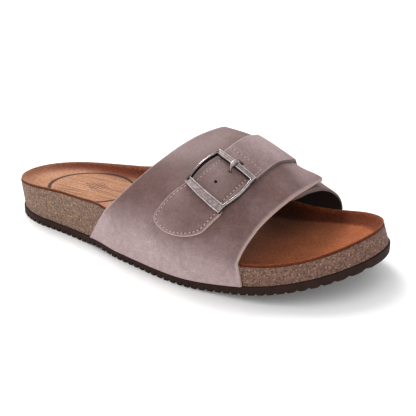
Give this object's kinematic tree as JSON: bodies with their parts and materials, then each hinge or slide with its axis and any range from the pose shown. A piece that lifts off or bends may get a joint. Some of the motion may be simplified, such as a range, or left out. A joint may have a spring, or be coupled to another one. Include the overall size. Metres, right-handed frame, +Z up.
{
  "type": "slide sandal",
  "caption": "Right-foot slide sandal: ribbed rubber outsole, cupped cork footbed, suede insole and a wide lapped leather upper closed by a buckled strap.",
  "frame": {"origin": "middle of the sandal's box, on the floor", "axes": "+X to the toe, +Y to the medial side, +Z up"},
  "size_m": [0.268, 0.1144, 0.0774],
  "materials": {
    "rubber": "matt moulded dark brown",
    "cork": "sealed granulated cork",
    "suede": "napped tan suede",
    "leather": "oiled taupe nubuck, soft sheen",
    "metal": "antiqued silver"
  },
  "bodies": {
    "root": {"outsole": "rubber", "midsole": "cork", "insole": "suede", "upper": "leather", "buckle_strap": "leather", "strap_tab": "leather", "buckle_frame": "metal", "buckle_prong": "metal"}
  },
  "joints": []
}
